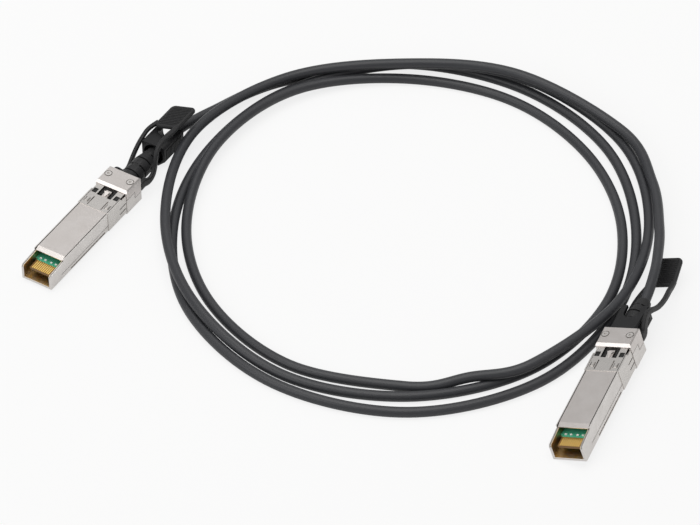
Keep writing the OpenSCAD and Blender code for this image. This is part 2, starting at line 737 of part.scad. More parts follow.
// Sleeve that slides over the boot and the cable: top that falls towards the
// rear, toothed sides, lower edges cut back, and a round notch in the top of
// its rear edge. back is how far it is pushed away from the head.
module grip_sleeve(back) {
    x0 = rear_x + sleeve_rest + back;
    x1 = x0 + sleeve_len;
    half = sleeve_w / 2;
    low = axis_z - sleeve_h / 2;
    high = axis_z + sleeve_h / 2;
    plain = 1.4;                    // smooth rim in front of the teeth
    pitch = (sleeve_len - 2 * plain) / sleeve_teeth;
    notch_r = 3.1;
    notch_x = x1 - 4;
    cut = 3.2;                      // size of the cut along each lower edge
    color([0.14, 0.14, 0.15]) difference() {
        union() {
            intersection() {
                along_x(x0, x1, [
                    [cut - half, low], [half - cut, low], [half, low + cut], [half, high - 0.7],
                    [half - 0.7, high], [0.7 - half, high], [-half, high - 0.7], [-half, low + cut]]);
                across_y(sleeve_w + 1, [[x0, low], [x1, low], [x1, high - sleeve_drop], [x0, high]]);
            }
            for (k = [0:sleeve_teeth - 1])
                both_sides(x0 + plain + k * pitch, x0 + plain + (k + 0.55) * pitch, half - bite,
                    half + tooth_h, low + cut + 0.4, high - sleeve_drop - 1);
        }
        rod_x(x0 - bite, x1 + bite, sleeve_bore);
        translate([notch_x, 0, axis_z]) cylinder(r = notch_r, h = sleeve_h, $fn = 48);
        bar(notch_x, x1 + bite, 2 * notch_r, axis_z, high + bite);
    }
}

// ----------------------------------------------------------------- cable

// The loops as [angle, radius, height] about the coil's centre, turn by turn
// from plug A clockwise to plug B. A height of 2 lies on the surface, and
// greater heights pass over other turns.
first_turn = [
    [140, 99.5, 3.8], [120, 97, 2], [90, 95, 2], [60, 93, 2], [30, 91, 2], [0, 88.5, 2],
    [-30, 91.5, 2], [-60, 97, 2], [-90, 99.5, 2], [-120, 98, 2], [-150, 94, 2], [-180, 89, 2]];
second_turn = [
    [150, 88, 2], [120, 91, 2], [90, 90.5, 5.6], [60, 94, 6.4], [30, 98, 2.2], [0, 93.5, 3.8],
    [-30, 92, 6.8], [-60, 92, 7.2], [-75, 87, 4.4], [-90, 86.5, 2], [-120, 87, 2], [-150, 85, 2],
    [-180, 84, 2]];
third_turn = [
    [150, 85, 5.4], [120, 87, 5], [90, 85.5, 2.4], [60, 84.5, 2], [30, 82.5, 2], [0, 83, 2],
    [-30, 86.5, 2], [-60, 90, 2], [-90, 91.5, 2], [-120, 93, 2.4], [-150, 92, 5.8], [-180, 92, 6.4]];
last_turn = [
    [150, 95, 8], [120, 93.5, 6.8], [90, 87, 9.2], [60, 91.5, 10.2], [30, 99, 6.6], [12, 98, 6],
    [-4, 97, 7.8]];

// The ends, in each plug's own frame, from inside the head outwards
end_a = [[jacket_start, 0, axis_z], [rear_x + boot_len, 0, axis_z], [96, 0, 5]];
end_b = [[jacket_start, 0, axis_z], [70, 0, axis_z], [rear_x + boot_len, 0, axis_z], [94, 1.2, 6.1],
    [106, 3.5, 6.9]];

function on_coil(p) = coil + [p[1] * cos(p[0]), p[1] * sin(p[0]), p[2]];
function reversed(p) = [for (i = [len(p) - 1:-1:0]) p[i]];
function above_surface(p) = [p.x, p.y, max(p.z, cable_d / 2)];

cable_points = concat(
    [for (p = end_a) from_a(p)],
    [for (p = concat(first_turn, second_turn, third_turn, last_turn)) on_coil(p)],
    [for (p = reversed(end_b)) from_b(p)]);
cable_route = [for (p = smooth(cable_points, 35)) above_surface(p)];

module cable_jacket() {
    outline = round_outline(cable_d, 8);
    color([0.32, 0.33, 0.35]) sweep(cable_route, [for (p = cable_route) outline]);
}

// ----------------------------------------------------------------- nodes

place_a() lower_shell();  // lower_shell_a
place_a() upper_cover();  // upper_cover_a
place_a() head_cap();  // head_cap_a
place_a() spring_collar();  // spring_collar_a
place_a() head_rivets();  // head_rivets_a
place_a() circuit_board();  // circuit_board_a
place_a() contact_pads();  // contact_pads_a
place_a() board_components();  // board_components_a
place_a() wire_pairs();  // wire_pairs_a
place_a() wire_clamp();  // wire_clamp_a
place_a() crimp_ferrule();  // crimp_ferrule_a
place_a() release_slider();  // release_slider_a
place_a() return_springs();  // return_springs_a
place_a() tab_pins();  // tab_pins_a
place_a() pull_tab(high_right, high_left, grip_a, grip_a_turn);  // pull_tab_a
place_a() cable_boot();  // cable_boot_a
place_a() grip_sleeve(sleeve_a_back);  // grip_sleeve_a
place_b() lower_shell();  // lower_shell_b
place_b() upper_cover();  // upper_cover_b
place_b() head_cap();  // head_cap_b
place_b() spring_collar();  // spring_collar_b
place_b() head_rivets();  // head_rivets_b
place_b() circuit_board();  // circuit_board_b
place_b() contact_pads();  // contact_pads_b
place_b() board_components();  // board_components_b
place_b() wire_pairs();  // wire_pairs_b
place_b() wire_clamp();  // wire_clamp_b
place_b() crimp_ferrule();  // crimp_ferrule_b
place_b() release_slider();  // release_slider_b
place_b() return_springs();  // return_springs_b
place_b() tab_pins();  // tab_pins_b
place_b() pull_tab(low_right, low_left, grip_b, grip_b_turn);  // pull_tab_b
place_b() cable_boot();  // cable_boot_b
place_b() grip_sleeve(0);  // grip_sleeve_b
cable_jacket();
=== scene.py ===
"""Dresses a coiled direct attach cable with a pluggable module at each end.

Rows of points and sizes are typed in millimetres. MM turns them into the metres
of the frame.
"""

import logging
import math
from abc import ABC, abstractmethod
from collections.abc import Callable, Iterable, Mapping, Sequence
from dataclasses import dataclass
from enum import Enum
from typing import Any, TypeAlias, Union

import bmesh
import bpy
from mathutils import Matrix, Vector


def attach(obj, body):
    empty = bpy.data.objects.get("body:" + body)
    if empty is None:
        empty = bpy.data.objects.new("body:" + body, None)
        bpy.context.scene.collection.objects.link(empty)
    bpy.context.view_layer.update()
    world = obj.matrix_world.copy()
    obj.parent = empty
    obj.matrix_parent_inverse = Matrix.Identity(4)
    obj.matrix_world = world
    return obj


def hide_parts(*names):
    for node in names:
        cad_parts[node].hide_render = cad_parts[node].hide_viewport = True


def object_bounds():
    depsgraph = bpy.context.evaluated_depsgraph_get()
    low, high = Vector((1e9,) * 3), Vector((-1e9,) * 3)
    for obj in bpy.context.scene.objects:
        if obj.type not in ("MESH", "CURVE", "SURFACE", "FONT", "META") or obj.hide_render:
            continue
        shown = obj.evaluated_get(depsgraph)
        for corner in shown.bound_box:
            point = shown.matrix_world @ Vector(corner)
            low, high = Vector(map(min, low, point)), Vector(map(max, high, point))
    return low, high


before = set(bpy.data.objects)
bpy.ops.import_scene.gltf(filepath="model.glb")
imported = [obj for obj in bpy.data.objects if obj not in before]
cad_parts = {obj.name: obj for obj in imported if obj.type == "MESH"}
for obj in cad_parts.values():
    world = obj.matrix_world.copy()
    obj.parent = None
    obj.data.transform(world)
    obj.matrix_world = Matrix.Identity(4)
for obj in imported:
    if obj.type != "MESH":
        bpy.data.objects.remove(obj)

LOG = logging.getLogger("cable")
CAD_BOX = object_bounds()

MM = 0.001
Row: TypeAlias = tuple[float, ...]
Colour: TypeAlias = tuple[float, float, float]
Link: TypeAlias = Union["Signal", float, int, Sequence[float]]


# ------------------------------------------------------------------ shapes


def catmull(points: Sequence[Row], steps: int) -> list[Row]:
    """Smooths a row of control points with a Catmull-Rom curve.

    Args:
        points: Control points of any width.
        steps: Samples between two neighbouring points.

    Returns:
        The samples, with the last control point at the end.
    """
    out: list[Row] = []
    last = len(points) - 1
    for i in range(last):
        p0, p1 = points[max(i - 1, 0)], points[i]
        p2, p3 = points[i + 1], points[min(i + 2, last)]
        for k in range(steps):
            t = k / steps
            out.append(
                tuple(
                    0.5
                    * (
                        2 * b
                        + (c - a) * t
                        + (2 * a - 5 * b + 4 * c - d) * t * t
                        + (3 * b - a - 3 * c + d) * t**3
                    )
                    for a, b, c, d in zip(p0, p1, p2, p3)
                )
            )
    out.append(tuple(points[last]))
    return out


def smooth_step(low: float, high: float, x: float) -> float:
    """Rises smoothly from 0 to 1.

    Args:
        low: Where the rise starts.
        high: Where it ends.
        x: The value to look up.

    Returns:
        A number from 0 to 1.
    """
    t = min(max((x - low) / (high - low), 0.0), 1.0)
    return t * t * (3 - 2 * t)


@dataclass(frozen=True)
class Placement:
    """Where a plug lies.

    Attributes:
        key: Suffix of the plug's nodes.
        head: Middle of the lower front edge of the head.
        yaw: Turn about the vertical, in degrees.
        pitch: Rise of the cable end, in degrees.
        roll: Turn about the plug's own axis, in degrees.
    """

    key: str
    head: Row
    yaw: float
    pitch: float
    roll: float

    BODY_LEN = 50.8 * MM

    @property
    def turn(self) -> Matrix:
        """Rotation from the plug's own axes to the common ones."""
        return (
            Matrix.Rotation(math.radians(self.yaw), 4, "Z")
            @ Matrix.Rotation(math.radians(-self.pitch), 4, "Y")
            @ Matrix.Rotation(math.radians(-self.roll), 4, "X")
        )

    @property
    def matrix(self) -> Matrix:
        """Places points given in the plug's own frame."""
        return (
            Matrix.Translation(self.head)
            @ self.turn
            @ Matrix.Translation((-self.BODY_LEN, 0, 0))
        )

    def point(self, x: float, y: float, z: float) -> Vector:
        """Carries a point of the plug to the common frame.

        Args:
            x: Distance from the mouth.
            y: Distance to the side.
            z: Height above the head's underside.

        Returns:
            The point in the common frame.
        """
        return self.matrix @ Vector((x, y, z))

    def row(self, place: Row) -> Row:
        """Carries a point given in millimetres to the common frame."""
        return tuple(self.point(*(c * MM for c in place)))


PLUG_A = Placement("a", (-92.5 * MM, 46.1 * MM, 0.0), 58.8, 0.0, 0.0)
PLUG_B = Placement("b", (98.9 * MM, -42.8 * MM, 2.21 * MM), 66.7, 1.5, 18.4)


class Builder:
    """Collects geometry in one bmesh and turns it into an object."""

    def __init__(self) -> None:
        """Starts with no geometry and one UV layer."""
        self.bm = bmesh.new()
        self.uv = self.bm.loops.layers.uv.new("Lay")

    def surface(
        self,
        cells: tuple[int, int],
        place: Callable[[float, float], Vector],
        uv_scale: tuple[float, float] = (1.0, 1.0),
    ) -> None:
        """Adds a grid whose points are moved onto a surface.

        Args:
            cells: Cells along the first and the second direction.
            place: Gives the point for two numbers from 0 to 1.
            uv_scale: Size of the surface along the two directions.
        """
        made = bmesh.ops.create_grid(
            self.bm, x_segments=cells[0], y_segments=cells[1], size=1.0
        )["verts"]
        faces = {f for v in made for f in v.link_faces}
        for face in faces:
            face.smooth = True
            for loop in face.loops:
                s, t = (loop.vert.co.x + 1) / 2, (loop.vert.co.y + 1) / 2
                loop[self.uv].uv = (s * uv_scale[0], t * uv_scale[1])
        for v in made:
            v.co = place((v.co.x + 1) / 2, (v.co.y + 1) / 2)

    def close(self, reach: float = 1e-6) -> None:
        """Welds seams, closes open ends and turns faces outwards.

        Args:
            reach: Points nearer than this become one.
        """
        bmesh.ops.remove_doubles(self.bm, verts=self.bm.verts, dist=reach)
        bmesh.ops.dissolve_degenerate(self.bm, edges=self.bm.edges, dist=reach)
        rim = [e for e in self.bm.edges if e.is_boundary]
        if rim:
            bmesh.ops.holes_fill(self.bm, edges=rim, sides=0)
        bmesh.ops.recalc_face_normals(self.bm, faces=self.bm.faces)

    def carry(self, matrix: Matrix) -> None:
        """Moves all the geometry.

        Args:
            matrix: The movement.
        """
        bmesh.ops.transform(self.bm, matrix=matrix, verts=self.bm.verts)

    def finish(self, name: str) -> bpy.types.Object:
        """Makes an object at the origin.

        Args:
            name: The object's name.

        Returns:
            The linked object.
        """
        mesh = bpy.data.meshes.new(name)
        self.bm.to_mesh(mesh)
        self.bm.free()
        obj = bpy.data.objects.new(name, mesh)
        bpy.context.collection.objects.link(obj)
        return obj


@dataclass
class Sweep:
    """A section carried along a line.

    Attributes:
        line: Points of the line.
        sections: Half width, half height and squareness at each point.
        sides: Points round the section.
    """

    line: list[Vector]
    sections: list[tuple[float, float, float]]
    sides: int

    def add_to(self, builder: Builder) -> None:
        """Adds the swept surface.

        Args:
            builder: Receives the surface.
        """
        last = len(self.line) - 1
        run = [0.0]
        for a, b in zip(self.line, self.line[1:]):
            run.append(run[-1] + (b - a).length)
        up = Vector((0, 0, 1))
        frames: list[tuple[Vector, Vector]] = []
        for i in range(last + 1):
            along = (self.line[min(i + 1, last)] - self.line[max(i - 1, 0)]).normalized()
            side = along.cross(up).normalized()
            frames.append((side, side.cross(along).normalized()))

        def place(s: float, t: float) -> Vector:
            """Finds a point of the swept surface.

            Args:
                s: How far along the line, from 0 to 1.
                t: How far round the section, from 0 to 1.

            Returns:
                The point.
            """
            i = round(s * last)
            half_w, half_h, power = self.sections[i]
            a = 2 * math.pi * t
            c, d = math.cos(a), math.sin(a)
            x = math.copysign(abs(c) ** power, c) * half_w
            y = math.copysign(abs(d) ** power, d) * half_h
            side, rise = frames[i]
            return self.line[i] + side * x + rise * y

        builder.surface((last, self.sides), place, (run[-1], 1.0))


# --------------------------------------------------------------- materials


class Signal:
    """One output socket, with arithmetic that adds math nodes."""

    def __init__(self, graph: "Graph", socket: bpy.types.NodeSocket | None) -> None:
        """Keeps the tree and the socket."""
        self.graph = graph
        self.socket = socket

    def _math(self, kind: str, *others: Link) -> "Signal":
        """Adds a math node that starts from this signal."""
        return self.graph.node("ShaderNodeMath", [self, *others], operation=kind)

    def __add__(self, other: Link) -> "Signal":
        """Sum."""
        return self._math("ADD", other)

    def __radd__(self, other: Link) -> "Signal":
        """Sum, with the signal on the right."""
        return self + other

    def __sub__(self, other: Link) -> "Signal":
        """Difference."""
        return self._math("SUBTRACT", other)

    def __rsub__(self, other: Link) -> "Signal":
        """Difference, with the signal on the right."""
        return self * -1.0 + other

    def __mul__(self, other: Link) -> "Signal":
        """Product."""
        return self._math("MULTIPLY", other)

    def __rmul__(self, other: Link) -> "Signal":
        """Product, with the signal on the right."""
        return self * other

    def __truediv__(self, other: Link) -> "Signal":
        """Quotient."""
        return self._math("DIVIDE", other)

    def __abs__(self) -> "Signal":
        """Size without the sign."""
        return self._math("ABSOLUTE")

    def __gt__(self, other: Link) -> "Signal":
        """1 where the signal is greater, and 0 elsewhere."""
        return self._math("GREATER_THAN", other)

    def __lt__(self, other: Link) -> "Signal":
        """1 where the signal is less, and 0 elsewhere."""
        return self._math("LESS_THAN", other)

    def fract(self) -> "Signal":
        """Fractional part."""
        return self._math("FRACT")

    def dot(self, direction: Sequence[float]) -> "Signal":
        """Length of a vector signal along a direction.

        Args:
            direction: The direction.

        Returns:
            The new signal.
        """
        return self.graph.node(
            "ShaderNodeVectorMath",
            [self, tuple(direction)],
            output="Value",
            operation="DOT_PRODUCT",
        )

    def ramp(self, low: float, high: float, start: float = 0.0, end: float = 1.0) -> "Signal":
        """Maps a range smoothly onto another.

        Args:
            low: Input that gives start.
            high: Input that gives end.
            start: Output at low.
            end: Output at high.

        Returns:
            The new signal.
        """
        return self.graph.node(
            "ShaderNodeMapRange", [self, low, high, start, end], interpolation_type="SMOOTHSTEP"
        )


class Graph:
    """Node tree of one material."""

    def __init__(self, name: str) -> None:
        """Makes an empty material.

        Args:
            name: The material's name.
        """
        self.material = bpy.data.materials.new(name)
        self.material.use_nodes = True
        self.tree = self.material.node_tree
        self.tree.nodes.clear()

    def node(
        self,
        kind: str,
        inputs: Iterable[Link] | Mapping[str | int, Link] = (),
        output: str | int = 0,
        **settings: Any,
    ) -> Signal:
        """Adds a node, sets it up and links its inputs.

        Args:
            kind: The node's type.
            inputs: Values or signals, in socket order or by socket name or number.
            output: The output that is returned.
            **settings: Properties of the node.

        Returns:
            The wanted output as a signal.
        """
        made = self.tree.nodes.new(kind)
        for key, value in settings.items():
            setattr(made, key, value)
        pairs = inputs.items() if isinstance(inputs, Mapping) else enumerate(inputs)
        for key, value in pairs:
            socket = made.inputs[key]
            if isinstance(value, Signal):
                self.tree.links.new(value.socket, socket)
            else:
                socket.default_value = value
        return Signal(self, made.outputs[output] if made.outputs else None)

    def place(self) -> Signal:
        """Object coordinates, in metres."""
        return self.node("ShaderNodeTexCoord", output="Object")

    def noise(
        self, where: Signal, scale: float, detail: float = 3.0, rough: float = 0.55
    ) -> Signal:
        """Fractal noise.

        Args:
            where: Coordinates.
            scale: Features per metre.
            detail: Octaves.
            rough: Share of the fine octaves.

        Returns:
            A signal about 0.5.
        """
        return self.node(
            "ShaderNodeTexNoise",
            {"Vector": where, "Scale": scale, "Detail": detail, "Roughness": rough},
            output="Fac",
        )

    def vector(self, x: Link, y: Link, z: Link) -> Signal:
        """Joins three signals.

        Args:
            x: First part.
            y: Second part.
            z: Third part.

        Returns:
            A vector signal.
        """
        return self.node("ShaderNodeCombineXYZ", [x, y, z])

    def blend(self, share: Link, first: Link, second: Link) -> Signal:
        """Mixes two colours.

        Args:
            share: 0 gives the first colour, 1 the second.
            first: The first colour.
            second: The second colour.

        Returns:
            A colour signal.
        """
        pair = [c if isinstance(c, Signal) else (*c, 1.0) for c in (first, second)]
        return self.node(
            "ShaderNodeMix",
            {0: share, 6: pair[0], 7: pair[1]},
            output=2,
            data_type="RGBA",
            clamp_factor=True,
        )

    def bump(self, height: Signal, depth: float, strength: float = 1.0) -> Signal:
        """Turns a height into a normal.

        Args:
            height: Height from 0 to 1.
            depth: Depth in metres that 1 stands for.
            strength: How much of it shows.

        Returns:
            A normal signal.
        """
        return self.node(
            "ShaderNodeBump", {"Height": height, "Distance": depth, "Strength": strength}
        )

    def surface(self, **sockets: Link) -> bpy.types.Material:
        """Closes the material with a Principled shader.

        Args:
            **sockets: Socket names, with _ for spaces, and their values.

        Returns:
            The material.
        """
        values = {
            key.replace("_", " "): (*value, 1.0)
            if isinstance(value, tuple) and len(value) == 3
            else value
            for key, value in sockets.items()
        }
        shader = self.node("ShaderNodeBsdfPrincipled", values)
        self.node("ShaderNodeOutputMaterial", {"Surface": shader})
        return self.material


@dataclass(frozen=True)
class LocalAxes:
    """A plug's own coordinates inside a material.

    Attributes:
        along: Distance from the mouth.
        across: Distance to the side.
        above: Height over the head's underside.
    """

    along: Signal
    across: Signal
    above: Signal

    @classmethod
    def of(cls, graph: Graph, plug: Placement) -> "LocalAxes":
        """Builds the coordinates of a plug.

        Args:
            graph: The material's tree.
            plug: The plug.

        Returns:
            The three distances as signals.
        """
        where = graph.place()
        back = plug.matrix.inverted()
        parts = [where.dot(back[i][:3]) + back[i][3] for i in range(3)]
        return cls(*parts)


class Finish(Enum):
    """Base colours, linear."""

    NICKEL = (0.70, 0.675, 0.655)
    COVER = (0.66, 0.625, 0.605)
    CHROMATE = (0.66, 0.44, 0.15)
    SHEET = (0.64, 0.615, 0.59)
    SHEET_WORN = (0.57, 0.55, 0.53)
    # Painted shade for the seams beside the cover and the rings round the rivets.
    PAINTED_SHADE = (0.10, 0.09, 0.08)
    MASK = (0.05, 0.33, 0.19)
    TRACE = (0.09, 0.45, 0.28)
    LAMINATE = (0.20, 0.24, 0.10)
    TONGUE = (0.16, 0.075, 0.012)
    GOLD = (1.0, 0.72, 0.24)
    GOLD_WORN = (0.96, 0.58, 0.13)
    BRASS = (0.72, 0.52, 0.25)
    BRASS_WORN = (0.55, 0.38, 0.17)
    STEEL = (0.56, 0.55, 0.54)
    STEEL_WORN = (0.47, 0.46, 0.45)
    CERAMIC = (0.84, 0.84, 0.80)
    TIN = (0.92, 0.92, 0.90)
    INSULATION = (0.72, 0.70, 0.66)
    IVORY = (0.62, 0.57, 0.44)
    BLACK = (0.012, 0.012, 0.012)
    STRAP = (0.012, 0.012, 0.013)
    BOOT = (0.014, 0.014, 0.015)
    SLEEVE = (0.008, 0.008, 0.009)
    JACKET = (0.036, 0.037, 0.041)
    JACKET_WORN = (0.028, 0.029, 0.033)
    GROUND = (0.80, 0.80, 0.80)
    GROUND_WORN = (0.785, 0.785, 0.785)


class Paint:
    """Makes the materials, one at a time and once each.

    The places below are distances from a plug's mouth, middle line and underside.
    """

    COLLAR_START = 38.3 * MM
    HEAD_START = 50.0 * MM
    CONTACTS_END = 7.0 * MM
    CONTACT_PITCH = 0.8 * MM
    BOARD_FACES = (5.07 * MM, 5.93 * MM)
    INSIDE_ENDS = (0.03 * MM, 49.0 * MM)
    INSIDE_HALF = 5.85 * MM
    INSIDE_HEIGHTS = (1.7 * MM, 9.2 * MM)
    # Painted shade: the seam band beside the cover, and below it the rings and dimples of the
    # rivets.
    COVER_SEAM = (6.02, 6.40)
    COVER_SEAM_LOW = 7.2 * MM
    RIVET = (56.5, 5.0)
    RIVET_RING = (1.2, 1.66)
    RIVET_DIMPLE = 0.5
    CHIP_PITCH = 0.9 * MM
    FLOOR_GLOW = 0.80
    FLOOR_MIRRORED_GLOW = 0.4

    def __init__(self) -> None:
        """Starts with no materials."""
        self.made: dict[str, bpy.types.Material] = {}

    def get(self, name: str, plug: Placement | None = None) -> bpy.types.Material:
        """Finds or makes a material.

        Args:
            name: Name of one of the recipes below.
            plug: The plug that it is for, where its grain follows the plug.

        Returns:
            The material.
        """
        key = name if plug is None else f"{name}_{plug.key}"
        if key not in self.made:
            LOG.info("material %s", key)
            graph = Graph(key)
            recipe = getattr(self, f"_{name}")
            self.made[key] = recipe(graph) if plug is None else recipe(graph, plug)
        return self.made[key]

    @staticmethod
    def _plated(graph: Graph, plug: Placement, base: Colour, inner: bool) -> bpy.types.Material:
        """Satin plating over a die casting, with a faint drawn grain.

        Args:
            graph: The material's tree.
            plug: The plug that the grain follows.
            base: Colour of the plating.
            inner: True where the inside shows a yellow conversion coat.

        Returns:
            The material.
        """
        axes = LocalAxes.of(graph, plug)
        grain = graph.vector(axes.along * 0.04, axes.across, axes.above)
        drawn = graph.noise(grain, 9000.0, 2.0)
        cast = graph.noise(graph.place(), 2600.0, 4.0, 0.6)
        clouds = graph.noise(graph.place(), 160.0, 3.0)
        tone = clouds.ramp(0.3, 0.7, 0.0, 1.0)
        darker: Colour = (base[0] * 0.93, base[1] * 0.925, base[2] * 0.92)
        colour: Link = graph.blend(tone, base, darker)
        if inner:
            side = abs(axes.across)
            low, high = Paint.INSIDE_HEIGHTS
            inside = (side < Paint.INSIDE_HALF) * (axes.above > low) * (axes.above < high)
            front, back = Paint.INSIDE_ENDS
            mouth = inside * (axes.along < back) * (axes.along > front)
            patch = graph.noise(graph.place(), 420.0, 3.0).ramp(0.25, 0.75, 0.55, 1.0)
            colour = graph.blend(mouth * patch, colour, Finish.CHROMATE.value)
        # Painted shade in the seams beside the cover and in the rings and dimples of the rivets.
        colour = Paint._painted_seam_shade(graph, axes, colour)
        rough = 0.27 + drawn * 0.09 + clouds * 0.08
        normal = graph.bump(drawn * 0.5 + cast * 0.5, 0.012 * MM, 0.5)
        return graph.surface(
            Base_Color=colour, Metallic=1.0, Roughness=rough, Normal=normal, Specular_IOR_Level=0.5
        )

    @staticmethod
    def _painted_seam_shade(graph: Graph, axes: LocalAxes, colour: Link) -> Signal:
        """Paints shade, as darker colour, into the seams beside the cover and into the rings and
        dimples of the rivets.

        Args:
            graph: The material's tree.
            axes: The plug's own coordinates.
            colour: The colour before the painted shade.

        Returns:
            The colour with the painted shade in its seams and rivet rings.
        """
        side = abs(axes.across) / MM
        body = (axes.along < Paint.COLLAR_START) * (axes.above > Paint.COVER_SEAM_LOW)
        seam = body * (side > Paint.COVER_SEAM[0]) * (side < Paint.COVER_SEAM[1])
        behind, beside = axes.along / MM - Paint.RIVET[0], side - Paint.RIVET[1]
        reach = behind * behind + beside * beside
        inner, outer = (radius**2 for radius in Paint.RIVET_RING)
        ring = (reach > inner) * (reach < outer) + (reach < Paint.RIVET_DIMPLE**2)
        rivet = ring * (axes.along > Paint.HEAD_START)
        # Painted shade: the seam band and the rivet rings are darkened with the shade colour.
        return graph.blend(seam * 0.75 + rivet * 0.35, colour, Finish.PAINTED_SHADE.value)

    def _casting(self, graph: Graph, plug: Placement) -> bpy.types.Material:
        """Plated casting with a yellow inside."""
        return self._plated(graph, plug, Finish.NICKEL.value, True)

    def _cover(self, graph: Graph, plug: Placement) -> bpy.types.Material:
        """Plated casting of the outer plates."""
        return self._plated(graph, plug, Finish.COVER.value, False)

    def _sheet(self, graph: Graph, plug: Placement) -> bpy.types.Material:
        """Sheet steel with a rolled grain.

        Args:
            graph: The material's tree.
            plug: The plug that the pattern follows.

        Returns:
            The material.
        """
        axes = LocalAxes.of(graph, plug)
        grain = graph.vector(axes.along, axes.across * 0.05, axes.above)
        rolled = graph.noise(grain, 7000.0, 2.0)
        clouds = graph.noise(graph.place(), 240.0, 3.0)
        colour = graph.blend(clouds, Finish.SHEET.value, Finish.SHEET_WORN.value)
        return graph.surface(
            Base_Color=colour,
            Metallic=1.0,
            Roughness=0.22 + rolled * 0.12,
            Normal=graph.bump(rolled, 0.006 * MM, 0.4),
        )

    def _board(self, graph: Graph, plug: Placement) -> bpy.types.Material:
        """Green circuit board with traces and a bare tongue.

        Args:
            graph: The material's tree.
            plug: The plug that the pattern follows.

        Returns:
            The material.
        """
        axes = LocalAxes.of(graph, plug)
        lane = abs((axes.across / self.CONTACT_PITCH + 0.5).fract() - 0.5)
        trace = lane.ramp(0.16, 0.22, 1.0, 0.0) * (axes.along > 5 * MM)
        weave = graph.noise(graph.vector(axes.along, axes.across, 0.0), 2400.0, 2.0)
        edge = (axes.above < self.BOARD_FACES[1]) * (axes.above > self.BOARD_FACES[0])
        colour = graph.blend(trace * 0.8, Finish.MASK.value, Finish.TRACE.value)
        colour = graph.blend(edge * 0.7, colour, Finish.LAMINATE.value)
        colour = graph.blend(axes.along < self.CONTACTS_END, colour, Finish.TONGUE.value)
        return graph.surface(
            Base_Color=colour,
            Roughness=0.30 + weave * 0.15,
            Coat_Weight=trace * 0.2 + 0.3,
            Coat_Roughness=0.12,
            Normal=graph.bump(trace * 0.7 + weave * 0.3, 0.02 * MM, 0.6),
        )

    def _gold(self, graph: Graph, plug: Placement) -> bpy.types.Material:
        """Gold plating with faint wiping marks.

        Args:
            graph: The material's tree.
            plug: The plug that the pattern follows.

        Returns:
            The material.
        """
        axes = LocalAxes.of(graph, plug)
        wipe = graph.noise(graph.vector(axes.along * 0.1, axes.across, 0.0), 9000.0, 2.0)
        clouds = graph.noise(graph.place(), 900.0, 2.0)
        colour = graph.blend(clouds, Finish.GOLD.value, Finish.GOLD_WORN.value)
        return graph.surface(
            Base_Color=colour,
            Metallic=1.0,
            Roughness=0.20 + wipe * 0.18,
            Normal=graph.bump(wipe, 0.004 * MM, 0.4),
        )

    def _parts(self, graph: Graph, plug: Placement) -> bpy.types.Material:
        """Small board parts: pale bodies with tinned ends.

        Args:
            graph: The material's tree.
            plug: The plug that the pattern follows.

        Returns:
            The material.
        """
        axes = LocalAxes.of(graph, plug)
        cell = (axes.across / self.CHIP_PITCH).fract()
        ends = abs(cell - 0.5).ramp(0.34, 0.40)
        grit = graph.noise(graph.place(), 5200.0, 3.0)
        colour = graph.blend(ends * 0.7, Finish.CERAMIC.value, Finish.TIN.value)
        return graph.surface(
            Base_Color=colour,
            Metallic=ends * 0.6,
            Roughness=0.42 + grit * 0.2,
            Normal=graph.bump(grit, 0.01 * MM, 0.5),
        )

    @staticmethod
    def _moulded(
        graph: Graph,
        base: Colour,
        rough: float,
        grain: float,
        sheen: float = 0.0,
        tint: float = 1.25,
    ) -> bpy.types.Material:
        """A moulded plastic or rubber with a fine spark-eroded grain.

        Args:
            graph: The material's tree.
            base: Its colour.
            rough: Its roughness.
            grain: Depth of the grain in millimetres.
            sheen: Weight of a soft bloom.
            tint: Lightness of worn patches against the base.

        Returns:
            The material.
        """
        where = graph.place()
        fine = graph.noise(where, 7500.0, 3.0, 0.6)
        broad = graph.noise(where, 320.0, 3.0)
        worn: Colour = (base[0] * tint, base[1] * tint, base[2] * tint)
        colour = graph.blend(broad.ramp(0.35, 0.75), base, worn)
        return graph.surface(
            Base_Color=colour,
            Roughness=rough + (broad - 0.5) * 0.12 + (fine - 0.5) * 0.08,
            Specular_IOR_Level=0.3,
            Sheen_Weight=sheen,
            Sheen_Roughness=0.5,
            Normal=graph.bump(fine * 0.8 + broad * 0.2, grain * MM, 0.6),
        )

    def _boot(self, graph: Graph) -> bpy.types.Material:
        """Rubber of the boots."""
        return self._moulded(graph, Finish.BOOT.value, 0.52, 0.03, 0.04)

    def _strap(self, graph: Graph) -> bpy.types.Material:
        """Rubber of the straps."""
        return self._moulded(graph, Finish.STRAP.value, 0.50, 0.02, 0.05)

    def _sleeve(self, graph: Graph) -> bpy.types.Material:
        """Plastic of the sleeves."""
        return self._moulded(graph, Finish.SLEEVE.value, 0.40, 0.02)

    def _slider(self, graph: Graph) -> bpy.types.Material:
        """Plastic of the sliders."""
        return self._moulded(graph, Finish.BLACK.value, 0.45, 0.02)

    def _clamp(self, graph: Graph) -> bpy.types.Material:
        """Ivory plastic of the wire clamps."""
        return self._moulded(graph, Finish.IVORY.value, 0.45, 0.02, 0.0, 1.08)

    def _wire(self, graph: Graph) -> bpy.types.Material:
        """Insulation of the wires."""
        return self._moulded(graph, Finish.INSULATION.value, 0.35, 0.008, 0.0, 1.06)

    def _ferrule(self, graph: Graph) -> bpy.types.Material:
        """Rubbed brass.

        Args:
            graph: The material's tree.

        Returns:
            The material.
        """
        where = graph.place()
        rub = graph.noise(where, 3000.0, 3.0)
        colour = graph.blend(rub, Finish.BRASS.value, Finish.BRASS_WORN.value)
        return graph.surface(
            Base_Color=colour,
            Metallic=1.0,
            Roughness=0.28 + rub * 0.2,
            Normal=graph.bump(rub, 0.01 * MM, 0.5),
        )

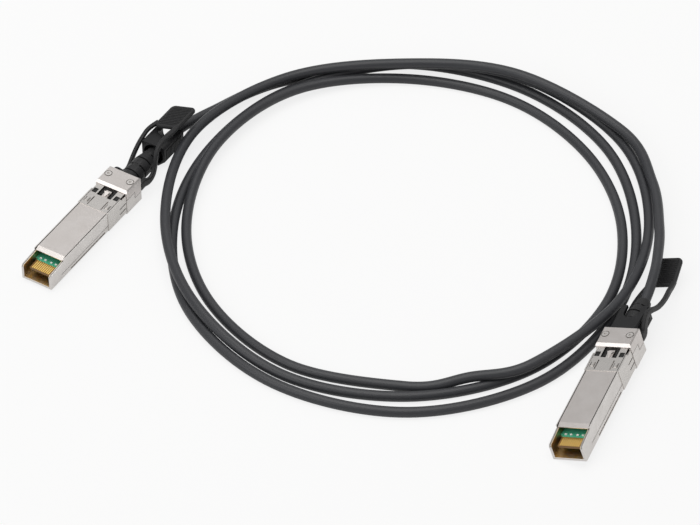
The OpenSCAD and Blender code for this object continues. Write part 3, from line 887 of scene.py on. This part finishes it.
    def _steel(self, graph: Graph) -> bpy.types.Material:
        """Drawn spring steel.

        Args:
            graph: The material's tree.

        Returns:
            The material.
        """
        where = graph.place()
        drawn = graph.noise(where, 5200.0, 3.0)
        colour = graph.blend(drawn, Finish.STEEL.value, Finish.STEEL_WORN.value)
        return graph.surface(
            Base_Color=colour,
            Metallic=1.0,
            Roughness=0.22 + drawn * 0.18,
            Normal=graph.bump(drawn, 0.006 * MM, 0.5),
        )

    def _jacket(self, graph: Graph) -> bpy.types.Material:
        """Extruded jacket: satin, with faint draw lines along it.

        Args:
            graph: The material's tree.

        Returns:
            The material.
        """
        lay = graph.node("ShaderNodeUVMap", output="UV", uv_map="Lay")
        run, turn = lay.dot((1.0, 0.0, 0.0)), lay.dot((0.0, 1.0, 0.0))
        lines = graph.noise(graph.vector(run * 30.0, turn * 46.0, 0.0), 1.0, 3.0)
        pores = graph.noise(graph.place(), 6500.0, 2.0)
        clouds = graph.noise(graph.vector(run * 22.0, turn * 2.0, 0.0), 1.0, 2.0)
        colour = graph.blend(
            clouds.ramp(0.3, 0.7), Finish.JACKET.value, Finish.JACKET_WORN.value
        )
        return graph.surface(
            Base_Color=colour,
            Roughness=0.36 + lines * 0.10 + pores * 0.06,
            Specular_IOR_Level=0.35,
            Coat_Weight=lines * 0.3,
            Coat_Roughness=0.3,
            Normal=graph.bump(lines * 0.5 + pores * 0.5, 0.012 * MM, 0.5),
        )

    def _floor(self, graph: Graph) -> bpy.types.Material:
        """Pale plain floor that stays light in the view and in reflections.

        Args:
            graph: The material's tree.

        Returns:
            The material.
        """
        cloud = graph.noise(graph.place(), 2.0, 2.0)
        colour = graph.blend(cloud, Finish.GROUND.value, Finish.GROUND_WORN.value)
        diffuse = graph.node("ShaderNodeBsdfDiffuse", {"Color": colour, "Roughness": 1.0})
        glow = graph.node("ShaderNodeEmission", {"Color": (1.0, 1.0, 1.0, 1.0), "Strength": 1.0})
        seen = graph.node("ShaderNodeLightPath", output="Is Camera Ray")
        mirrored = graph.node("ShaderNodeLightPath", output="Is Glossy Ray")
        share = seen * self.FLOOR_GLOW + mirrored * self.FLOOR_MIRRORED_GLOW
        mixed = graph.node("ShaderNodeMixShader", [share, diffuse, glow])
        graph.node("ShaderNodeOutputMaterial", {"Surface": mixed})
        return graph.material


# ------------------------------------------------------------------ pieces


class Piece(ABC):
    """One visible piece that rides on a body of the frame."""

    def __init__(self, name: str, body: str, slot: str, replaces: tuple[str, ...]) -> None:
        """Keeps what ties the piece to the frame.

        Args:
            name: The piece's name.
            body: The body that it rides on.
            slot: Its slot.
            replaces: The nodes that it stands for.
        """
        self.name = name
        self.body = body
        self.slot = slot
        self.replaces = replaces

    @abstractmethod
    def shape(self) -> bpy.types.Object:
        """Builds the mesh.

        Returns:
            The object, at the origin.
        """

    @abstractmethod
    def material(self, paint: Paint) -> bpy.types.Material:
        """Picks the material.

        Args:
            paint: The material maker.

        Returns:
            The material.
        """

    def make(self, paint: Paint) -> bpy.types.Object:
        """Builds the piece and ties it to the frame.

        Args:
            paint: The material maker.

        Returns:
            The finished object.
        """
        obj = self.shape()
        obj.data.materials.append(self.material(paint))
        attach(obj, self.body)
        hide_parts(*self.replaces)
        LOG.info("piece %s: %d faces", self.name, len(obj.data.polygons))
        return obj


class Cable(Piece):
    """The jacket: one round tube from plug to plug."""

    DIAMETER = 4.0 * MM
    LENGTH = 2.05
    COIL = (20.6, 34.2, 0.0)
    LOOPS: tuple[Row, ...] = (
        (140, 99.5, 3.8), (120, 97, 2), (90, 95, 2), (60, 93, 2), (30, 91, 2), (0, 88.5, 2),
        (-30, 91.5, 2), (-60, 97, 2), (-90, 99.5, 2), (-120, 98, 2), (-150, 94, 2), (-180, 89, 2),
        (150, 88, 2), (120, 91, 2), (90, 90.5, 5.6), (60, 94, 6.4), (30, 98, 2.2), (0, 93.5, 3.8),
        (-30, 92, 6.8), (-60, 92, 7.2), (-75, 87, 4.4), (-90, 86.5, 2), (-120, 87, 2),
        (-150, 85, 2), (-180, 84, 2), (150, 85, 5.4), (120, 87, 5), (90, 85.5, 2.4),
        (60, 84.5, 2), (30, 82.5, 2), (0, 83, 2), (-30, 86.5, 2), (-60, 90, 2), (-90, 91.5, 2),
        (-120, 93, 2.4), (-150, 92, 5.8), (-180, 92, 6.4), (150, 95, 8), (120, 93.5, 6.8),
        (90, 87, 9.2), (60, 91.5, 10.2), (30, 99, 6.6), (12, 98, 6), (-4, 97, 7.8),
    )
    EXIT: Row = (80.7, 0, 5.5)
    END_A: tuple[Row, ...] = ((52, 0, 5.5), EXIT, (96, 0, 5))
    END_B: tuple[Row, ...] = (
        (106, 3.5, 6.9), (94, 1.2, 6.1), EXIT, (70, 0, 5.5), (52, 0, 5.5),
    )
    STEPS = 16
    SIDES = 32

    def __init__(self) -> None:
        """Works out the route."""
        super().__init__("cable_sheath", "plugs_and_cable", "cable_sheath", ("cable_jacket",))
        self.route = self._route()

    def _route(self) -> list[Vector]:
        """Joins both plugs through the loops, on the floor and inside the frame.

        Returns:
            The middle line of the cable.
        """
        points: list[Row] = [PLUG_A.row(p) for p in self.END_A]
        for angle, radius, height in self.LOOPS:
            a = math.radians(angle)
            points.append(
                (
                    (self.COIL[0] + radius * math.cos(a)) * MM,
                    (self.COIL[1] + radius * math.sin(a)) * MM,
                    height * MM,
                )
            )
        points += [PLUG_B.row(p) for p in self.END_B]
        half = self.DIAMETER / 2
        farthest, highest = CAD_BOX[1][1] - half, CAD_BOX[1][2] - half
        return [
            Vector((p[0], min(p[1], farthest), min(max(p[2], half), highest)))
            for p in catmull(points, self.STEPS)
        ]

    def shape(self) -> bpy.types.Object:
        """Sweeps a circle along the route.

        Returns:
            The tube.
        """
        builder = Builder()
        half = self.DIAMETER / 2
        Sweep(self.route, [(half, half, 1.0)] * len(self.route), self.SIDES).add_to(builder)
        builder.close()
        return builder.finish(self.name)

    def material(self, paint: Paint) -> bpy.types.Material:
        """Black jacket."""
        return paint.get("jacket")

    def make(self, paint: Paint) -> bpy.types.Object:
        """Builds the cable and logs its length along the route.

        Args:
            paint: The material maker.

        Returns:
            The cable.
        """
        obj = super().make(paint)
        run = sum((b - a).length for a, b in zip(self.route, self.route[1:]))
        LOG.info("cable: %.3f m along its route", run)
        PLUG_A.row(self.EXIT)
        [tuple(p) for p in self.route]
        return obj


@dataclass(frozen=True)
class Grip:
    """The ribbed end of a strap, in millimetres.

    Attributes:
        start: Where it begins, in the plug's own frame.
        turn: Turns about the plug's three axes, in degrees.
        length: Its length.
        width: Its width.
        thick: Its thickness.
        ribs: Number of ribs across it.
    """

    start: Row
    turn: Row
    length: float = 14.0
    width: float = 12.0
    thick: float = 1.6
    ribs: int = 11

    CORNER = 2.2
    ROUND = 0.55
    RIM = 1.5
    GROOVE = 0.34
    RIB = 0.46
    CELLS = (140, 60)

    def matrix(self) -> Matrix:
        """Places the plate in the plug's own frame.

        Returns:
            The matrix, in metres.
        """
        x, y, z = (math.radians(a) for a in self.turn)
        about_z, about_y = Matrix.Rotation(z, 4, "Z"), Matrix.Rotation(y, 4, "Y")
        turn = about_z @ about_y @ Matrix.Rotation(x, 4, "X")
        return Matrix.Translation(Vector(self.start) * MM) @ turn

    def half_width(self, x: float) -> float:
        """Half the plate's width at a distance from its near end.

        Args:
            x: The distance.

        Returns:
            Half the width.
        """
        near_end = min(x, self.length - x)
        dip = 0.0
        if near_end < self.CORNER:
            short = self.CORNER - near_end
            dip = self.CORNER - math.sqrt(max(self.CORNER**2 - short**2, 0.0))
        return self.width / 2 - dip

    def edge(self, x: float, y: float) -> float:
        """Distance from the plate's outline.

        Args:
            x: Distance from the near end.
            y: Distance from the middle line.

        Returns:
            The distance, 0 on the outline.
        """
        ex = self.length / 2 - abs(x - self.length / 2)
        ey = self.width / 2 - abs(y)
        if ex < self.CORNER and ey < self.CORNER:
            return max(self.CORNER - math.hypot(self.CORNER - ex, self.CORNER - ey), 0.0)
        return max(min(ex, ey), 0.0)

    def height(self, x: float, y: float) -> float:
        """Half the plate's thickness at a point, ribs included.

        Args:
            x: Distance from the near end.
            y: Distance from the middle line.

        Returns:
            The height over the plate's middle plane.
        """
        inset = self.edge(x, y)
        share = min(inset / self.ROUND, 1.0)
        edge = self.thick / 2 * math.sqrt(max(1 - (1 - share) ** 2, 0.0))
        field = smooth_step(self.RIM * 0.75, self.RIM, inset)
        pitch = (self.length - 2 * self.RIM) / self.ribs
        phase = ((x - self.RIM) / pitch) % 1.0
        rib = smooth_step(0.1, 0.3, phase) * (1 - smooth_step(0.5, 0.7, phase))
        return edge + field * (self.RIB * rib - self.GROOVE)

    def add_to(self, builder: Builder) -> None:
        """Adds the plate's two faces.

        Args:
            builder: Receives them.
        """
        matrix = self.matrix()
        for sign in (1, -1):

            def place(s: float, t: float, sign: int = sign) -> Vector:
                """Finds a point of one face.

                Args:
                    s: How far along the plate, from 0 to 1.
                    t: How far across it, from 0 to 1.
                    sign: 1 for the upper face, -1 for the lower.

                Returns:
                    The point.
                """
                x = s * self.length
                y = (2 * t - 1) * self.half_width(x)
                return matrix @ (Vector((x, y, sign * self.height(x, y))) * MM)

            builder.surface(self.CELLS, place, (self.length * MM, self.width * MM))


class PullTab(Piece):
    """Soft strap with two arms and a ribbed grip.

    A row of an arm gives its distance behind ROOT, its distance to the side, its
    height, and the width and thickness of its section.
    """

    ROOT = 61.0
    START: tuple[Row, ...] = ((0, 6.55, 6.2, 1.6, 3.8), (2.6, 6.55, 6.2, 1.6, 3.6))
    HALF_W, HALF_H = 0.49, 0.48
    SQUARENESS = 0.42
    STEPS = 10
    SIDES = 32

    def __init__(
        self, plug: Placement, right: Sequence[Row], left: Sequence[Row], grip: Grip
    ) -> None:
        """Keeps the strap's shape.

        Args:
            plug: The plug that it releases.
            right: Rows of the right arm.
            left: Rows of the left arm.
            grip: The grip at its end.
        """
        key = plug.key
        super().__init__(f"strap_{key}", f"release_{key}", "tab_rubber", (f"pull_tab_{key}",))
        self.plug = plug
        self.arms = ((right, -1.0), (left, 1.0))
        self.grip = grip

    def shape(self) -> bpy.types.Object:
        """Builds both arms and the grip.

        Returns:
            The strap.
        """
        builder = Builder()
        for rows, side in self.arms:
            fine = catmull([*self.START, *rows], self.STEPS)
            line = [Vector((self.ROOT + r[0], side * r[1], r[2])) * MM for r in fine]
            sections = [
                (r[3] * self.HALF_W * MM, r[4] * self.HALF_H * MM, self.SQUARENESS) for r in fine
            ]
            Sweep(line, sections, self.SIDES).add_to(builder)
        self.grip.add_to(builder)
        builder.close()
        builder.carry(self.plug.matrix)
        return builder.finish(self.name)

    def material(self, paint: Paint) -> bpy.types.Material:
        """Black rubber."""
        return paint.get("strap")


HIGH_RIGHT: tuple[Row, ...] = (
    (5.4, 6.8, 5.4, 1.5, 3.1), (8, 6.9, 6.3, 1.5, 2.7), (9.9, 6.8, 9, 1.5, 2.5),
    (11.2, 6.5, 12, 1.5, 2.4), (13.2, 6, 14.6, 1.6, 2.2), (16, 5.6, 15.5, 1.7, 2),
    (20, 5.4, 15.5, 1.9, 1.8), (24.5, 5.3, 14.9, 2, 1.6), (30, 5, 14.5, 2, 1.5),
)
HIGH_LEFT: tuple[Row, ...] = (
    (4.6, 6.6, 4.4, 1.5, 3), (6.6, 6.6, 2.4, 1.5, 2.4), (8.8, 6.6, 1.4, 1.5, 2),
    (11.2, 6.6, 1.9, 1.5, 2), (13.6, 6.6, 4.1, 1.5, 2.1), (16.2, 6.6, 6.5, 1.5, 2),
    (19, 6.6, 8.4, 1.5, 1.9), (22, 6.6, 9.7, 1.5, 1.8), (24.6, 6.4, 10.8, 1.5, 1.7),
    (27, 5.6, 11.6, 1.6, 1.6), (30, 4.6, 11.9, 1.8, 1.5),
)
LOW_RIGHT: tuple[Row, ...] = (
    (4.4, 6.6, 8, 1.5, 3.3), (6.8, 6.6, 9.6, 1.5, 2.9), (9.4, 6.6, 10, 1.5, 2.5),
    (12.2, 6.7, 8.9, 1.5, 2.2), (15, 6.7, 7.2, 1.5, 2), (18, 6.7, 5.7, 1.5, 2),
    (22.5, 6.7, 4.5, 1.6, 2), (26.5, 6.4, 3.8, 1.8, 1.9), (30, 5.6, 2.6, 1.9, 1.8),
    (33.3, 5, 1.5, 2, 1.7), (37, 4.5, 0.8, 2, 1.6),
)
LOW_LEFT: tuple[Row, ...] = (
    (5, 6.6, 5, 1.5, 3.1), (8, 6.7, 3, 1.5, 2.6), (12, 6.7, 1.8, 1.5, 2.2),
    (18, 6.7, 1.4, 1.6, 2), (24, 6.5, 1.3, 1.7, 1.9), (30, 5.6, 1.1, 1.9, 1.8),
    (37, 4, 0.8, 2, 1.6),
)
HIGH_GRIP = Grip((88.2, -0.6, 13.2), (-18.0, 0.0, 0.0))
LOW_GRIP = Grip((95.8, 0.4, 0.3), (-2.0, -8.0, 4.0))


@dataclass(frozen=True)
class Dressing:
    """How a node of the frame is shown.

    Attributes:
        node: Name of the node without its plug's suffix.
        recipe: Name of the material.
        follows: True if the material's grain follows the plug.
        bevel: Width of the rounding of its edges, in millimetres.
    """

    node: str
    recipe: str
    follows: bool
    bevel: float

    WELD = 2e-6
    SEGMENTS = 3
    SHARP = math.radians(40)

    def apply(self, plug: Placement, paint: Paint) -> None:
        """Dresses the node of one plug.

        Args:
            plug: The plug.
            paint: The material maker.
        """
        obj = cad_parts[f"{self.node}_{plug.key}"]
        material = paint.get(self.recipe, plug if self.follows else None)
        if not obj.material_slots:
            obj.data.materials.append(material)
        for held in obj.material_slots:
            held.material = material
        if self.bevel:
            weld = obj.modifiers.new("weld", "WELD")
            weld.merge_threshold = self.WELD
            bevel = obj.modifiers.new("round", "BEVEL")
            bevel.width = self.bevel * MM
            bevel.segments = self.SEGMENTS
            bevel.limit_method = "ANGLE"
            bevel.angle_limit = self.SHARP
            bevel.use_clamp_overlap = True
            bevel.harden_normals = True
        LOG.info("dressed %s with %s", obj.name, material.name)


DRESSINGS: tuple[Dressing, ...] = (
    Dressing("lower_shell", "casting", True, 0.12),
    Dressing("upper_cover", "cover", True, 0.12),
    Dressing("head_cap", "cover", True, 0.15),
    Dressing("spring_collar", "sheet", True, 0.0),
    Dressing("head_rivets", "casting", True, 0.1),
    Dressing("circuit_board", "board", True, 0.03),
    Dressing("contact_pads", "gold", True, 0.0),
    Dressing("board_components", "parts", True, 0.05),
    Dressing("wire_pairs", "wire", False, 0.0),
    Dressing("wire_clamp", "clamp", False, 0.1),
    Dressing("crimp_ferrule", "ferrule", False, 0.1),
    Dressing("release_slider", "slider", False, 0.1),
    Dressing("return_springs", "steel", False, 0.0),
    Dressing("tab_pins", "steel", False, 0.0),
    Dressing("cable_boot", "boot", False, 0.18),
    Dressing("grip_sleeve", "sleeve", False, 0.12),
)


# ------------------------------------------------------------------ studio


@dataclass(frozen=True)
class SoftBox:
    """A large light.

    Attributes:
        name: Its name.
        at: Its place.
        size: Its width and depth.
        power: Its power in watts.
        tint: Its colour.
    """

    name: str
    at: Row
    size: tuple[float, float]
    power: float
    tint: Colour = (1.0, 1.0, 1.0)

    def make(self, target: Vector) -> None:
        """Hangs the light and aims it.

        Args:
            target: The point it shines at.
        """
        data = bpy.data.lights.new(self.name, "AREA")
        data.shape = "RECTANGLE"
        data.size, data.size_y = self.size
        data.energy = self.power
        data.color = self.tint
        lamp = bpy.data.objects.new(self.name, data)
        lamp.location = self.at
        lamp.rotation_mode = "QUATERNION"
        lamp.rotation_quaternion = (target - Vector(self.at)).to_track_quat("-Z", "Y")
        bpy.context.collection.objects.link(lamp)


class Studio:
    """Camera, floor, lights and world."""

    ELEVATION = 43.755
    DISTANCE = 1.36328
    LENS = 184.25
    AIM = (-0.6 * MM, 15.6 * MM, 0.0)
    FLOOR_REACH = 3.0
    FLOOR_DROP = 0.02 * MM
    FLOOR_CELLS = (8, 8)
    SKY = 0.45
    LIGHTS: tuple[SoftBox, ...] = (
        SoftBox("overhead", (-0.05, 0.05, 1.2), (1.1, 1.1), 9.0, (1.0, 0.99, 0.97)),
        SoftBox("front", (-0.9, -0.55, 0.75), (0.9, 0.7), 4.0),
        SoftBox("back", (0.0, 1.0, 1.0), (1.4, 0.8), 1.2),
    )

    def camera(self) -> None:
        """Makes the camera."""
        data = bpy.data.cameras.new("camera")
        data.lens = self.LENS
        data.sensor_width = 36.0
        data.clip_start, data.clip_end = 0.05, 20.0
        data.dof.use_dof = False
        obj = bpy.data.objects.new("camera", data)
        e = math.radians(self.ELEVATION)
        back = Vector((0.0, -math.cos(e), math.sin(e)))
        obj.location = Vector(self.AIM) + back * self.DISTANCE
        obj.rotation_euler = (math.pi / 2 - e, 0.0, 0.0)
        bpy.context.collection.objects.link(obj)
        bpy.context.scene.camera = obj
        LOG.info("camera at %s", tuple(round(c, 4) for c in obj.location))

    def surroundings(self, paint: Paint) -> None:
        """Makes the floor, the lights and the world.

        Args:
            paint: The material maker.
        """
        builder = Builder()
        reach, drop = self.FLOOR_REACH, -self.FLOOR_DROP
        builder.surface(
            self.FLOOR_CELLS,
            lambda s, t: Vector(((2 * s - 1) * reach, (2 * t - 1) * reach, drop)),
        )
        floor = builder.finish("floor")
        floor.data.materials.append(paint.get("floor"))
        for light in self.LIGHTS:
            light.make(Vector((0.0, 0.0, 0.0)))
        world = bpy.data.worlds.new("world")
        world.use_nodes = True
        background = world.node_tree.nodes["Background"]
        background.inputs["Color"].default_value = (1.0, 1.0, 1.0, 1.0)
        background.inputs["Strength"].default_value = self.SKY
        bpy.context.scene.world = world
        bpy.context.scene.view_settings.view_transform = "Standard"
        LOG.info("studio ready")


# -------------------------------------------------------------------- main


def main() -> None:
    """Builds the whole scene."""
    logging.basicConfig(level=logging.INFO, format="%(message)s")
    paint = Paint()
    studio = Studio()
    studio.camera()
    Cable().make(paint)
    for plug in (PLUG_A, PLUG_B):
        for dressing in DRESSINGS:
            dressing.apply(plug, paint)
    PullTab(PLUG_A, HIGH_RIGHT, HIGH_LEFT, HIGH_GRIP).make(paint)
    PullTab(PLUG_B, LOW_RIGHT, LOW_LEFT, LOW_GRIP).make(paint)
    studio.surroundings(paint)
    LOG.info("sizes written")


if __name__ == "__main__":
    main()
